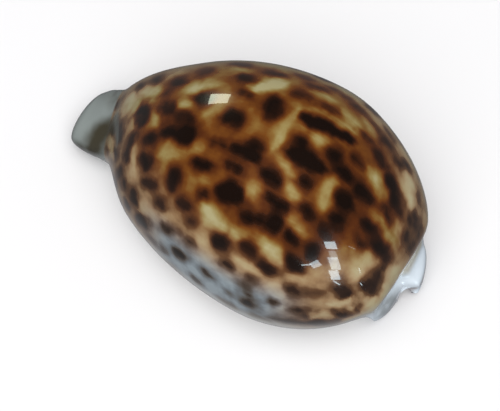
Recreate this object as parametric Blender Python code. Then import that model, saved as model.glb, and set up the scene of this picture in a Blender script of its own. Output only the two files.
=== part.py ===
"""Tiger cowrie shell: one hollow, egg-shaped piece with a toothed slit along its base.

Run with: blender --background --python part.py

Frame, in metres: +X runs along the shell to its broad (posterior) end, +Y points to the outer lip,
+Z to the crown of the back. The origin lies on the resting plane, under the middle of the shell.
The shell is a loft. Every station along X is one closed C-shaped outline in Y and Z: down the slit
wall of the outer lip, round the outside, up the slit wall of the inner lip, and round the cavity.
"""

import math

import bmesh
import bpy
import numpy as np

# Driving dimensions.
LENGTH = 0.0800             # tip of the beak to tip of the outer lip's lobe
WIDTH = 0.0494              # across the widest part of the body
HEIGHT = 0.0400             # resting plane to crown, before the flat spot is worn off
WALL = 0.0024               # shell wall over the back
END_WALL = 0.0032           # and at the body's two ends
LIP_THICKNESS = 0.0050      # the rolled lips that make the base
TOOTH_PITCH = 0.0025        # along the slit, crest to crest
TOOTH_DEPTH = 0.0005        # of the grooves that leave the teeth standing

# Body, a blunt egg in plan and in side view.
WIDEST_X = 0.0106           # station of the greatest width
CROWN_X = 0.0078            # station of the greatest height
NARROW_END_X = -0.0338      # where the body's narrow end meets the beak
BROAD_END_X = 0.0354        # where the body's broad end meets its flange
PLAN_POWERS = (0.66, 0.48)  # bluntness in plan of the narrow and broad ends, 0.5 being an ellipse
SIDE_POWERS = (0.58, 0.44)  # the same in side view
MARGIN_Z = 0.0130           # height of the widest line at mid length
END_MARGIN_Z = 0.0062       # and at the two ends
MARGIN_LIMIT = 0.55         # the widest line is never higher than this share of the local height
UPPER_POWER = 2.15          # how square the back is across, 2 being an ellipse
LOWER_POWER = 2.5           # how square the base is across
LEAN = -0.02                # drift of the body's middle towards the inner lip, per metre of length
OVERHANG = 0.0028           # how far the body bulges out above the flange
OVERHANG_X = (0.0180, 0.0355)               # the bulge grows between these stations
OVERHANG_Z = (0.0050, 0.0140, 0.0220, 0.0400)   # grows between the first two heights, then dies out
OVERHANG_Y = (-0.0100, 0.0080)              # and grows from the inner lip's side to the outer's
OVERHANG_INNER = 0.4        # its share on the inner lip's side

# Ends: the beak round the siphonal canal, and the flange round the exhalant canal.
BEAK_HALF_WIDTH = 0.0064
BEAK_TOP = 0.0068
BEAK_ROOT_HALF_WIDTH = 0.0076
BEAK_ROOT_TOP = 0.0110
BEAK_ROOT_LENGTH = 0.0080
BEAK_ROUNDING = 0.0045      # in plan, at the tip
BEAK_SHIFT = -0.0007        # of the tip, towards the inner lip
BEAK_SHIFT_LENGTH = 0.0120
FLANGE_HALF_WIDTH = 0.0088  # at its tip
FLANGE_ROOT_HALF_WIDTH = 0.0130
FLANGE_ROOT_X = 0.0305
FLANGE_TOP = 0.0056
FLANGE_TIP_X = 0.0371       # end of the flange on the inner-lip side
LOBE_REACH = 0.0030         # how far the outer lip's lobe stands past it
LOBE_WALL = (0.0004, 0.0025)    # it rises between these distances from the slit's middle
LOBE_SLANT_Y = 0.0130       # and slants back from the slit to here
LOBE_SLANT = 0.6            # losing this share of its reach
LOBE_Z = (0.0050, 0.0100)   # and dies out between these heights
FILLET = 0.0026             # softness of the join between body and ends
RIM_RADIUS = 0.0020         # rounding of the two end rims

# Slit along the base, from canal to canal.
SLIT_X = np.array([-0.040, -0.030, -0.018, 0.000, 0.014, 0.026, 0.0375])
SLIT_Y = np.array([0.0004, 0.0018, 0.0029, 0.0030, 0.0023, 0.0006, -0.0024])
SLIT_HALF_GAP = np.array([0.0016, 0.0027, 0.0031, 0.0026, 0.0023, 0.0020, 0.0015])
LIP_ROUNDING = 0.0020
RIM_CORNER = 0.25           # share of that rounding that is left at the two end rims
CANAL_ROOF = 0.0021         # roof thickness over both canals
CANAL_FLARE = 0.0006        # how much wider the canals are than the slit
CANAL_RIM = 0.0004          # thickness that the walls thin down to at the two end rims
RIM_LIFT = 0.0008           # rise of the lips where they turn over at the rims
TOOTH_REACH = 0.0030        # length of a tooth across the flat of the lip
TEETH_FROM_X = -0.0350
TEETH_TO_X = 0.0325
TEETH_FADE = 0.0040         # length over which the first and last teeth die out
ROCKER = 0.0018             # rise of the base towards its two ends
ROCKER_FROM_X = 0.0120
FLOOR_SHARE = 0.75          # where the canals are low, the lips take this share of the height
CAVITY_MARGIN = 0.3         # height of the cavity's widest line, as a share of its height
BLEND = 0.2                 # share of the body's height or width over which cavity turns to canal
FLAT_SPOT = 0.0009          # depth worn off the base, which leaves the spot it rests on

STATIONS_PER_TOOTH = 2
RIM_STATIONS = 4
OUTSIDE_POINTS = 34         # points from lip to lip round the outside
WALL_POINTS = 5             # points up each wall of the slit
CAVITY_POINTS = 16          # points round the cavity
FINE_POINTS = 90            # points that half an outline is worked out at before it is thinned
CORNER_POINTS = 7           # the same for the rounding of a lip
SMOOTH_ANGLE = math.radians(50)

ENAMEL_COLOUR = (0.42, 0.27, 0.14, 1.0)
ENAMEL_ROUGHNESS = 0.12


def clear_scene():
    for obj in list(bpy.data.objects):
        bpy.data.objects.remove(obj, do_unlink=True)


def smooth_step(x, start, end):
    t = np.clip((x - start) / (end - start), 0.0, 1.0)
    return t * t * (3 - 2 * t)


def larger(a, b, softness):
    """The larger of a and b, with a fillet where they cross."""
    return (a + b + np.sqrt((a - b) ** 2 + softness**2)) / 2


def egg(x, middle, powers, inset=0.0):
    """1 at the middle station, falling to 0 at both ends of the body, or this far inside them."""
    span = middle - NARROW_END_X if x < middle else BROAD_END_X - middle
    power = powers[0] if x < middle else powers[1]
    return max(0.0, 1 - ((x - middle) / (span - inset)) ** 2) ** power


def rounding(distance, radius):
    """Quarter circle: 0 at the rim, 1 from one radius inwards."""
    short = max(0.0, 1 - distance / radius)
    return math.sqrt(1 - short * short)


def signed_power(value, power):
    return np.sign(value) * np.abs(value) ** power


def evenly(curve, count):
    """The curve, as points the same distance apart."""
    steps = np.linalg.norm(np.diff(curve, axis=0), axis=1)
    along = np.concatenate([[0.0], np.cumsum(steps)])
    wanted = np.linspace(0.0, along[-1], count)
    return np.column_stack([np.interp(wanted, along, curve[:, k]) for k in range(2)])


def eased(x, values):
    """A value that is given at the slit's guide points, eased between them."""
    place = np.interp(x, SLIT_X, np.arange(len(SLIT_X)))
    near = int(min(place, len(SLIT_X) - 2))
    t = place - near
    slope = np.gradient(values)
    rise = t * t * (3 - 2 * t)
    bend = slope[near] * t * (1 - t) ** 2 - slope[near + 1] * t * t * (1 - t)
    return values[near] * (1 - rise) + values[near + 1] * rise + bend


def sizes_at(x):
    """Half width, top, margin height and middle of the outside outline at a station."""
    wide = egg(x, WIDEST_X, PLAN_POWERS)
    high = egg(x, CROWN_X, SIDE_POWERS)
    to_root = smooth_step(x, -LENGTH / 2, -LENGTH / 2 + BEAK_ROOT_LENGTH)
    beak_width = BEAK_HALF_WIDTH + (BEAK_ROOT_HALF_WIDTH - BEAK_HALF_WIDTH) * to_root
    beak_top = BEAK_TOP + (BEAK_ROOT_TOP - BEAK_TOP) * to_root
    taper = np.clip((x - FLANGE_ROOT_X) / (FLANGE_TIP_X - FLANGE_ROOT_X), 0.0, 1.0)
    flange_width = FLANGE_ROOT_HALF_WIDTH + (FLANGE_HALF_WIDTH - FLANGE_ROOT_HALF_WIDTH) * taper
    to_flange = smooth_step(x, 0.0, BROAD_END_X)
    end_width = beak_width + (flange_width - beak_width) * to_flange
    end_top = beak_top + (FLANGE_TOP - beak_top) * to_flange
    half_width = larger(WIDTH / 2 * wide, end_width, FILLET)
    top = larger(HEIGHT * high, end_top, FILLET)
    margin = min(END_MARGIN_Z + (MARGIN_Z - END_MARGIN_Z) * wide, MARGIN_LIMIT * top)
    to_tip = 1 - smooth_step(x, -LENGTH / 2, -LENGTH / 2 + BEAK_SHIFT_LENGTH)
    return half_width, top, margin, LEAN * x + BEAK_SHIFT * to_tip


def cavity_at(x, slit_y, canal_half, canal_top):
    """Reach of the cavity to each side of the slit, and its top: the canal's where the body ends."""
    wide = egg(x, WIDEST_X, PLAN_POWERS, END_WALL)
    high = egg(x, CROWN_X, SIDE_POWERS, END_WALL)
    reaches = []
    for side in (1, -1):
        reach = side * (LEAN * x - slit_y) + (WIDTH / 2 - WALL) * wide
        reaches.append(canal_half + max(0.0, reach - canal_half) * smooth_step(wide, 0.0, BLEND))
    top = canal_top + max(0.0, (HEIGHT - WALL) * high - canal_top) * smooth_step(high, 0.0, BLEND)
    return reaches, top


def outline(angles, half_width, margin, low, top):
    """Points of one half outline: angle 0 is straight down, pi is straight up."""
    power = np.where(angles < math.pi / 2, 2 / LOWER_POWER, 2 / UPPER_POWER)
    y = half_width * signed_power(np.sin(angles), power)
    reach = np.abs(np.cos(angles)) ** power
    z = np.where(angles < math.pi / 2, margin - (margin - low) * reach, margin + (top - margin) * reach)
    return np.column_stack([y, z])


def start_angle(offset, half_width):
    """Angle at which an outline lies this far sideways from its middle."""
    share = min(offset / half_width, 0.999)
    return math.asin(signed_power(share, LOWER_POWER / 2))


def half_outline(offset, half_width, margin, low, top):
    angles = np.linspace(start_angle(offset, half_width), math.pi, FINE_POINTS)
    return outline(angles, half_width, margin, low, top)


def slit_wall(side, slit_y, gap, corner, base_z, floor_z):
    """One wall of the slit, from the base round its rounded corner and up to the cavity floor."""
    turn = np.linspace(0.0, math.pi / 2, CORNER_POINTS)
    corner_y = slit_y + side * (gap + corner * (1 - np.sin(turn)))
    corner_z = base_z + corner * (1 - np.cos(turn))
    rounded = np.column_stack([corner_y, corner_z])
    return np.vstack([rounded, [slit_y + side * gap, floor_z]])


def station(x):
    """The closed outline at one station, as rows of Y and Z."""
    half_width, top, margin, middle = sizes_at(x)
    slit_y = eased(x, SLIT_Y)
    gap = eased(x, SLIT_HALF_GAP)
    from_tip = x + LENGTH / 2
    from_end = FLANGE_TIP_X - x
    fade = rounding(min(from_tip, from_end), RIM_RADIUS)
    plan_fade = min(rounding(from_tip, BEAK_ROUNDING), rounding(from_end, RIM_RADIUS))
    canal_half = gap + CANAL_FLARE
    canal_top = min(FLANGE_TOP, top) - CANAL_ROOF
    corner = LIP_ROUNDING * (RIM_CORNER + (1 - RIM_CORNER) * fade)
    rim_half_width = canal_half + corner
    half_width = rim_half_width + (half_width - rim_half_width) * plan_fade
    rim_top = canal_top + CANAL_RIM
    top_here = rim_top + (top - rim_top) * fade
    low = RIM_LIFT * (1 - fade)
    margin = low + (margin - low) * fade
    reaches, cavity_top = cavity_at(x, slit_y, canal_half, canal_top)
    floor_z = min(LIP_THICKNESS, FLOOR_SHARE * cavity_top)
    outside, cavity, walls = [], [], []
    for side, reach in zip((1, -1), reaches):
        edge = slit_y + side * (gap + corner) - middle
        half = half_outline(side * edge, half_width, margin, low, top_here)
        outside.append(half * (side, 1) + (middle, 0))
        walls.append(slit_wall(side, slit_y, gap, corner, half[0, 1], floor_z))
        level = floor_z + CAVITY_MARGIN * (cavity_top - floor_z)
        half = half_outline(gap + CANAL_FLARE / 2, reach, level, floor_z, cavity_top)
        cavity.append(half * (side, 1) + (slit_y, 0))
    return np.vstack([
        evenly(walls[0][::-1], WALL_POINTS + 1)[:-1],
        evenly(np.vstack([outside[0], outside[1][::-1]]), OUTSIDE_POINTS),
        evenly(walls[1], WALL_POINTS + 1)[1:],
        evenly(np.vstack([cavity[1], cavity[0][::-1]]), CAVITY_POINTS),
    ])


def cut_teeth(loop, x):
    """Sinks one station's lips by a groove where it lies between two teeth."""
    slit_y = eased(x, SLIT_Y)
    gap = eased(x, SLIT_HALF_GAP)
    row = smooth_step(x, TEETH_FROM_X, TEETH_FROM_X + TEETH_FADE)
    row = row * (1 - smooth_step(x, TEETH_TO_X - TEETH_FADE, TEETH_TO_X))
    y, z = loop[:, 0], loop[:, 1]
    side = np.sign(y - slit_y)
    from_edge = np.abs(y - slit_y) - gap - LIP_ROUNDING
    on_lip = 1 - smooth_step(from_edge, TOOTH_REACH / 3, TOOTH_REACH)
    on_lip = on_lip * (1 - smooth_step(z, LIP_THICKNESS / 2, LIP_THICKNESS))
    phase = (x - TEETH_FROM_X) / TOOTH_PITCH + np.where(side > 0, 0.0, 0.5)
    groove = TOOTH_DEPTH * row * on_lip * (0.5 - 0.5 * np.cos(2 * math.pi * phase))
    turn = np.clip(-from_edge / LIP_ROUNDING, 0.0, 1.0) * math.pi / 2
    moved = np.column_stack([y + side * groove * np.sin(turn), z + groove * np.cos(turn)])
    return np.where(on_lip[:, None] > 0, moved, loop)


def bend(points):
    """Bends the straight loft into the real shape: rocker, overhang, lobe and the worn flat spot."""
    x, y, z = points[..., 0], points[..., 1], points[..., 2]
    ends = np.maximum(np.abs(x) - ROCKER_FROM_X, 0) / (LENGTH / 2 - ROCKER_FROM_X)
    lift = ROCKER * ends**2
    above = smooth_step(z, *OVERHANG_Z[:2]) * (1 - smooth_step(z, *OVERHANG_Z[2:]))
    to_outer_lip = OVERHANG_INNER + (1 - OVERHANG_INNER) * smooth_step(y, *OVERHANG_Y)
    bulge = OVERHANG * smooth_step(x, *OVERHANG_X) * above * to_outer_lip
    across = smooth_step(y - np.interp(x, SLIT_X, SLIT_Y), *LOBE_WALL)
    across = across * (1 - LOBE_SLANT * smooth_step(y, 0.0, LOBE_SLANT_Y))
    lobe = LOBE_REACH * smooth_step(x, FLANGE_ROOT_X, FLANGE_TIP_X) * across
    lobe = lobe * (1 - smooth_step(z, *LOBE_Z))
    height = np.maximum(z + lift - FLAT_SPOT, 0.0)
    return np.stack([x + bulge + lobe, y, height], axis=-1)


def stations():
    """Stations along X, closest together where the ends turn over and evenly spaced along the teeth."""
    turn = np.linspace(0.0, math.pi / 2, RIM_STATIONS + 1)[:-1]
    narrow = -LENGTH / 2 + RIM_RADIUS * (1 - np.cos(turn))
    broad = FLANGE_TIP_X - RIM_RADIUS * (1 - np.cos(turn))
    step = TOOTH_PITCH / STATIONS_PER_TOOTH
    first = TEETH_FROM_X - 2 * step
    count = int((broad[-1] - first) / step)
    return np.concatenate([narrow, first + step * np.arange(count + 1), broad[::-1]])


def shell_points():
    loops = []
    for x in stations():
        loop = cut_teeth(station(x), x)
        loops.append(np.column_stack([np.full(len(loop), x), loop]))
    points = bend(np.array(loops))
    low, high = points.min(axis=(0, 1)), points.max(axis=(0, 1))
    middle = (low + high) / 2
    return points - (middle[0], middle[1], low[2])


def shares(chain):
    """How far along the chain each of its points lies, from 0 to 1, with a stop past the end."""
    steps = [(after.co - before.co).length for before, after in zip(chain, chain[1:])]
    along = np.concatenate([[0.0], np.cumsum(steps)])
    return np.append(along / along[-1], 2.0)


def cap(bm, row):
    """Closes one end: a band of triangles between the outside and the slit, canal and cavity."""
    outside = row[WALL_POINTS:WALL_POINTS + OUTSIDE_POINTS]
    inside = (row[WALL_POINTS + OUTSIDE_POINTS:] + row[:WALL_POINTS])[::-1]
    outer, inner = shares(outside), shares(inside)
    i, k = 0, 0
    while i < len(outside) - 1 or k < len(inside) - 1:
        if outer[i + 1] < inner[k + 1]:
            bm.faces.new((outside[i], outside[i + 1], inside[k]))
            i += 1
        else:
            bm.faces.new((outside[i], inside[k + 1], inside[k]))
            k += 1


def shell_mesh():
    mesh = bpy.data.meshes.new("cowrie_shell")
    bm = bmesh.new()
    rows = [[bm.verts.new(point) for point in loop] for loop in shell_points()]
    for row, following in zip(rows, rows[1:]):
        for k in range(len(row)):
            after = (k + 1) % len(row)
            bm.faces.new((row[k], row[after], following[after], following[k]))
    cap(bm, rows[0])
    cap(bm, rows[-1])
    bmesh.ops.triangulate(bm, faces=bm.faces, quad_method="SHORT_EDGE")
    bmesh.ops.recalc_face_normals(bm, faces=bm.faces)
    bm.to_mesh(mesh)
    bm.free()
    mesh.shade_smooth()
    mesh.set_sharp_from_angle(angle=SMOOTH_ANGLE)
    return mesh


def enamel():
    material = bpy.data.materials.new("enamel")
    material.use_nodes = True
    shader = material.node_tree.nodes["Principled BSDF"]
    shader.inputs["Base Color"].default_value = ENAMEL_COLOUR
    shader.inputs["Roughness"].default_value = ENAMEL_ROUGHNESS
    shader.inputs["Metallic"].default_value = 0.0
    return material


def main():
    clear_scene()
    shell = bpy.data.objects.new("cowrie_shell", shell_mesh())
    shell.data.materials.append(enamel())
    collection = bpy.data.collections.new("Cowrie shell")
    bpy.context.scene.collection.children.link(collection)
    collection.objects.link(shell)
    print("cowrie shell:", len(shell.data.vertices), "points,", len(shell.data.polygons), "faces")


main()
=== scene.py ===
import math
import random

import bpy
import numpy as np
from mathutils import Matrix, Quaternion, Vector, noise


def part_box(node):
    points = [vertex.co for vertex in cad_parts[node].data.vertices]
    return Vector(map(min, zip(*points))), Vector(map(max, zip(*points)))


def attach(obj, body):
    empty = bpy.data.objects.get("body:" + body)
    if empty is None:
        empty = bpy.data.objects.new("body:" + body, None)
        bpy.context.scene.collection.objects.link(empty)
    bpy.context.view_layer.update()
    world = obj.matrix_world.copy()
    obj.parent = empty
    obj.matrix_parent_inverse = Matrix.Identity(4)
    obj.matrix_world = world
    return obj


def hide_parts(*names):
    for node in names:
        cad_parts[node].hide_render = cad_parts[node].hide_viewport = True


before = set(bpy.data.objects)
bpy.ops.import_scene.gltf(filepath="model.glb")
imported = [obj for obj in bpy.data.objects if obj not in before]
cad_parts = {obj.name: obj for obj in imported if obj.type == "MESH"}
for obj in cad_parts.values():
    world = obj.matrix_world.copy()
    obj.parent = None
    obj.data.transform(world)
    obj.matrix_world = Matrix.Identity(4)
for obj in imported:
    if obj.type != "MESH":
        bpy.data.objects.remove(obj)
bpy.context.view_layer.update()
shellLow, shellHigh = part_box("cowrie_shell")
millimetre = 0.001
print("frame: cowrie_shell is", [round(1000 * size, 1) for size in shellHigh - shellLow], "mm")


# The shell's form. Lengths are in millimetres, x runs to the broad end and y to the outer lip.

shellForm = {
    "length": 80.0,
    "width": 49.4,
    "height": 40.0,
    "wall": 2.4,                    # thickness over the back
    "endWall": 3.2,                 # and at the body's two ends
    "widestX": 10.6,
    "crownX": 7.8,
    "narrowEnd": -33.8,             # where the body ends and the beak goes on
    "broadEnd": 35.4,               # where the body ends and the flange goes on
    "planPowers": (0.63, 0.48),     # how blunt the two ends are from above, 0.5 being an ellipse
    "sidePowers": (0.55, 0.44),     # and from the side
    "margin": 13.0,                 # height of the widest line
    "endMargin": 6.2,
    "marginLimit": 0.55,
    "upperPower": 2.15,             # how square the back is across, 2 being an ellipse
    "lowerPower": 2.5,              # and the base
    "lean": -0.02,
    "overhang": 2.8,                # bulge of the broad end over its flange
    "overhangX": (18.0, 35.5),
    "overhangZ": (5.0, 14.0, 22.0, 40.0),
    "overhangY": (-10.0, 8.0),
    "overhangInner": 0.8,
    "skew": 2.4,                    # the narrow end reaches further on the outer lip's side
    "skewY": 8.0,
    "skewStart": (18.0, 33.0),
    "skewEnd": (34.0, 40.0),
    "fillet": 2.6,
    "rocker": 1.8,                  # rise of the base towards the ends
    "rockerFrom": 12.0,
    "flatSpot": 0.9,                # worn off where the shell rests
    "floorShare": 0.75,
    "cavityMargin": 0.3,
    "blend": 0.2,
}

shellEnds = {
    "beakHalfWidth": 7.0,
    "beakTop": 6.8,
    "beakRootHalfWidth": 7.2,
    "beakRootTop": 11.0,
    "beakRootLength": 8.0,
    "beakRounding": 6.5,
    "beakShift": -1.4,
    "beakShiftLength": 12.0,
    "flangeHalfWidth": 8.8,
    "flangeRootHalfWidth": 12.4,
    "flangeRootX": 30.5,
    "flangeTop": 5.6,
    "flangeTip": 37.1,
    "lobeReach": 2.8,               # the outer lip's lobe past the flange
    "lobeWall": (0.4, 2.5),
    "lobeSlantY": 13.0,
    "lobeSlant": 0.75,
    "lobeZ": (5.0, 10.0),
    "rimRadius": 2.0,
    "rimCorner": 0.25,
    "rimBulge": 0.12,
    "canalRoof": 2.1,
    "canalFlare": 0.6,
    "canalRim": 0.4,
    "rimLift": 0.8,
}

shellMouth = {
    "slitX": np.array([-40.0, -30.0, -18.0, 0.0, 14.0, 26.0, 37.5]),
    "slitY": np.array([0.4, 1.8, 2.9, 3.0, 2.3, 0.6, -2.4]),
    "halfGap": np.array([1.6, 2.7, 3.1, 2.6, 2.3, 2.0, 1.5]),
    "lipThickness": 5.0,
    "lipRounding": 2.0,
    "toothPitch": 2.5,
    "toothDepth": 0.5,
    "toothReach": 3.0,
    "teethFrom": -35.0,
    "teethTo": 32.5,
    "teethFade": 4.0,
    "grooveShape": 0.75,            # under 1 makes the teeth narrower than the gaps
    "unevenness": 0.25,             # of the teeth's lengths
    "toothLengths": 40,             # as many lengths are drawn, more than a row has teeth
    "seed": 4,
}

shellMesh = {
    "stationsPerTooth": 8,
    "rimStations": 14,
    "outsidePoints": 190,
    "wallPoints": 14,
    "cavityPoints": 60,
    "finePoints": 260,
    "cornerPoints": 24,
    "lipDensity": 2.0,              # extra points near the lips
    "lipStretch": 8.0,
}

outsideAt = slice(shellMesh["wallPoints"], shellMesh["wallPoints"] + shellMesh["outsidePoints"])


def smoothStep(value, start, end):
    t = np.clip((value - start) / (end - start), 0.0, 1.0)
    return t * t * (3 - 2 * t)


def larger(a, b, softness):  # the larger of two, with a fillet where they cross
    return (a + b + np.sqrt((a - b) ** 2 + softness ** 2)) / 2


def rounding(distance, radius):
    short = max(0.0, 1 - distance / radius)
    return math.sqrt(1 - short * short)


def signedPower(value, power):
    return np.sign(value) * np.abs(value) ** power


def egg(x, middle, powers, inset=0.0):
    form = shellForm
    span = middle - form["narrowEnd"] if x < middle else form["broadEnd"] - middle
    power = powers[0] if x < middle else powers[1]
    return max(0.0, 1 - ((x - middle) / (span - inset)) ** 2) ** power


def eased(x, values):
    guide = shellMouth["slitX"]
    place = np.interp(x, guide, np.arange(len(guide)))
    near = int(min(place, len(guide) - 2))
    t = place - near
    slope = np.gradient(values)
    rise = t * t * (3 - 2 * t)
    bend = slope[near] * t * (1 - t) ** 2 - slope[near + 1] * t * t * (1 - t)
    return values[near] * (1 - rise) + values[near + 1] * rise + bend


def bodySizes(x):  # half width and top of the egg-shaped body alone
    form = shellForm
    wide = egg(x, form["widestX"], form["planPowers"])
    high = egg(x, form["crownX"], form["sidePowers"])
    return form["width"] / 2 * wide, form["height"] * high, wide


def endSizes(x):  # half width and top of the beak or flange alone
    form, ends = shellForm, shellEnds
    tip = -form["length"] / 2
    toRoot = smoothStep(x, tip, tip + ends["beakRootLength"])
    beakWidth = ends["beakHalfWidth"] + (ends["beakRootHalfWidth"] - ends["beakHalfWidth"]) * toRoot
    beakTop = ends["beakTop"] + (ends["beakRootTop"] - ends["beakTop"]) * toRoot
    taper = np.clip((x - ends["flangeRootX"]) / (ends["flangeTip"] - ends["flangeRootX"]), 0.0, 1.0)
    flangeWidth = ends["flangeRootHalfWidth"]
    flangeWidth = flangeWidth + (ends["flangeHalfWidth"] - flangeWidth) * taper
    toFlange = smoothStep(x, 0.0, form["broadEnd"])
    halfWidth = beakWidth + (flangeWidth - beakWidth) * toFlange
    return halfWidth, beakTop + (ends["flangeTop"] - beakTop) * toFlange


def sizesAt(x):  # half width, top, margin height and middle of the outside
    form, ends = shellForm, shellEnds
    bodyWidth, bodyTop, wide = bodySizes(x)
    endWidth, endTop = endSizes(x)
    halfWidth = larger(bodyWidth, endWidth, form["fillet"])
    top = larger(bodyTop, endTop, form["fillet"])
    margin = form["endMargin"] + (form["margin"] - form["endMargin"]) * wide
    margin = min(margin, form["marginLimit"] * top)
    tip = -form["length"] / 2
    toTip = 1 - smoothStep(x, tip, tip + ends["beakShiftLength"])
    return halfWidth, top, margin, form["lean"] * x + ends["beakShift"] * toTip


def cavityAt(x, slitY, canalHalf, canalTop):
    form = shellForm
    wide = egg(x, form["widestX"], form["planPowers"], form["endWall"])
    high = egg(x, form["crownX"], form["sidePowers"], form["endWall"])
    reaches = []
    for side in (1, -1):
        reach = side * (form["lean"] * x - slitY) + (form["width"] / 2 - form["wall"]) * wide
        reaches.append(canalHalf + max(0.0, reach - canalHalf) * smoothStep(wide, 0.0, form["blend"]))
    rise = max(0.0, (form["height"] - form["wall"]) * high - canalTop)
    return reaches, canalTop + rise * smoothStep(high, 0.0, form["blend"])


def outline(angles, halfWidth, margin, low, top):  # half an outline, from straight down to straight up
    form = shellForm
    power = np.where(angles < math.pi / 2, 2 / form["lowerPower"], 2 / form["upperPower"])
    y = halfWidth * signedPower(np.sin(angles), power)
    reach = np.abs(np.cos(angles)) ** power
    z = np.where(angles < math.pi / 2, margin - (margin - low) * reach, margin + (top - margin) * reach)
    return np.column_stack([y, z])


def halfOutline(offset, halfWidth, margin, low, top):
    share = min(offset / halfWidth, 0.999)
    start = math.asin(signedPower(share, shellForm["lowerPower"] / 2))
    return outline(np.linspace(start, math.pi, shellMesh["finePoints"]), halfWidth, margin, low, top)


def pathLength(curve):
    steps = np.linalg.norm(np.diff(curve, axis=0), axis=1)
    return np.concatenate([[0.0], np.cumsum(steps)])


def pointsAt(curve, along, wanted):
    return np.column_stack([np.interp(wanted, along, curve[:, k]) for k in range(curve.shape[1])])


def evenly(curve, count):
    along = pathLength(curve)
    return pointsAt(curve, along, np.linspace(0.0, along[-1], count))


def denserAtLips(total, count):  # places along the outside, closer together near both lips
    fine = np.linspace(0.0, total, 4 * count)
    fromLip = np.minimum(fine, total - fine) / shellMesh["lipStretch"]
    weight = 1 + shellMesh["lipDensity"] * np.exp(-fromLip ** 2)
    gathered = np.concatenate([[0.0], np.cumsum((weight[1:] + weight[:-1]) / 2)])
    return np.interp(np.linspace(0.0, gathered[-1], count), gathered, fine)


def slitWall(side, slitY, gap, corner, baseZ, floorZ):
    turn = np.linspace(0.0, math.pi / 2, shellMesh["cornerPoints"])
    cornerY = slitY + side * (gap + corner * (1 - np.sin(turn)))
    cornerZ = baseZ + corner * (1 - np.cos(turn))
    return np.vstack([np.column_stack([cornerY, cornerZ]), [slitY + side * gap, floorZ]])


def station(x):
    # One closed outline: down the outer lip's wall, round the outside, up the inner lip's wall and
    # round the cavity. With it comes how far each outside point lies from the crown line.
    form, ends, mouth, mesh = shellForm, shellEnds, shellMouth, shellMesh
    halfWidth, top, margin, middle = sizesAt(x)
    slitY = eased(x, mouth["slitY"])
    gap = eased(x, mouth["halfGap"])
    fromTip = x + form["length"] / 2
    fromEnd = ends["flangeTip"] - x
    fade = rounding(min(fromTip, fromEnd), ends["rimRadius"])
    planFade = min(rounding(fromTip, ends["beakRounding"]), rounding(fromEnd, ends["rimRadius"]))
    canalHalf = gap + ends["canalFlare"]
    canalTop = min(ends["flangeTop"], top) - ends["canalRoof"]
    corner = mouth["lipRounding"] * (ends["rimCorner"] + (1 - ends["rimCorner"]) * fade)
    rimHalfWidth = canalHalf + corner
    halfWidth = rimHalfWidth + (halfWidth - rimHalfWidth) * planFade
    rimTop = canalTop + ends["canalRim"]
    topHere = rimTop + (top - rimTop) * fade
    low = ends["rimLift"] * (1 - fade)
    margin = low + (margin - low) * fade
    reaches, cavityTop = cavityAt(x, slitY, canalHalf, canalTop)
    floorZ = min(mouth["lipThickness"], form["floorShare"] * cavityTop)
    outside, cavity, walls = [], [], []
    for side, reach in zip((1, -1), reaches):
        edge = slitY + side * (gap + corner) - middle
        half = halfOutline(side * edge, halfWidth, margin, low, topHere)
        outside.append(half * (side, 1) + (middle, 0))
        walls.append(slitWall(side, slitY, gap, corner, half[0, 1], floorZ))
        level = floorZ + form["cavityMargin"] * (cavityTop - floorZ)
        half = halfOutline(gap + ends["canalFlare"] / 2, reach, level, floorZ, cavityTop)
        cavity.append(half * (side, 1) + (slitY, 0))
    shell = np.vstack([outside[0], outside[1][::-1][1:]])
    along = pathLength(shell)
    wanted = denserAtLips(along[-1], mesh["outsidePoints"])
    fromCrown = along[len(outside[0]) - 1] - wanted
    loop = np.vstack([
        evenly(walls[0][::-1], mesh["wallPoints"] + 1)[:-1],
        pointsAt(shell, along, wanted),
        evenly(walls[1], mesh["wallPoints"] + 1)[1:],
        evenly(np.vstack([cavity[1], cavity[0][::-1]]), mesh["cavityPoints"]),
    ])
    return loop, fromCrown


def toothRow(x, sideSign):
    # how deep the groove between two teeth is at a station, from 0 to 1, and how far it reaches
    mouth = shellMouth
    row = smoothStep(x, mouth["teethFrom"], mouth["teethFrom"] + mouth["teethFade"])
    row = row * (1 - smoothStep(x, mouth["teethTo"] - mouth["teethFade"], mouth["teethTo"]))
    phase = (x - mouth["teethFrom"]) / mouth["toothPitch"] + (0.0 if sideSign > 0 else 0.5)
    wave = (0.5 - 0.5 * np.cos(2 * math.pi * phase)) ** mouth["grooveShape"]
    teeth = mouth["toothLengths"]
    lengths = np.random.default_rng(mouth["seed"] + (sideSign > 0)).uniform(-1, 1, teeth)
    longer = 1 + mouth["unevenness"] * np.interp(phase + 0.5, np.arange(teeth), lengths)
    return row * wave, mouth["toothReach"] * longer


def cutTeeth(loop, x):
    mouth = shellMouth
    slitY = eased(x, mouth["slitY"])
    gap = eased(x, mouth["halfGap"])
    y, z = loop[:, 0], loop[:, 1]
    side = np.where(y < slitY, -1.0, 1.0)
    fromEdge = np.abs(y - slitY) - gap - mouth["lipRounding"]
    outerRow, outerReach = toothRow(x, 1)
    innerRow, innerReach = toothRow(x, -1)
    reach = np.where(side > 0, outerReach, innerReach)
    onLip = 1 - smoothStep(fromEdge, reach / 3, reach)
    onLip = onLip * (1 - smoothStep(z, mouth["lipThickness"] / 2, mouth["lipThickness"]))
    groove = np.where(side > 0, outerRow, innerRow) * onLip
    turn = np.clip(-fromEdge / mouth["lipRounding"], 0.0, 1.0) * math.pi / 2
    depth = mouth["toothDepth"] * groove
    moved = np.column_stack([y + side * depth * np.sin(turn), z + depth * np.cos(turn)])
    return np.where(onLip[:, None] > 0, moved, loop), groove


def skewAt(x, y):
    form = shellForm
    weight = smoothStep(-x, *form["skewStart"]) * (1 - smoothStep(-x, *form["skewEnd"]))
    return form["skew"] * np.tanh(y / form["skewY"]) * weight


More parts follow.
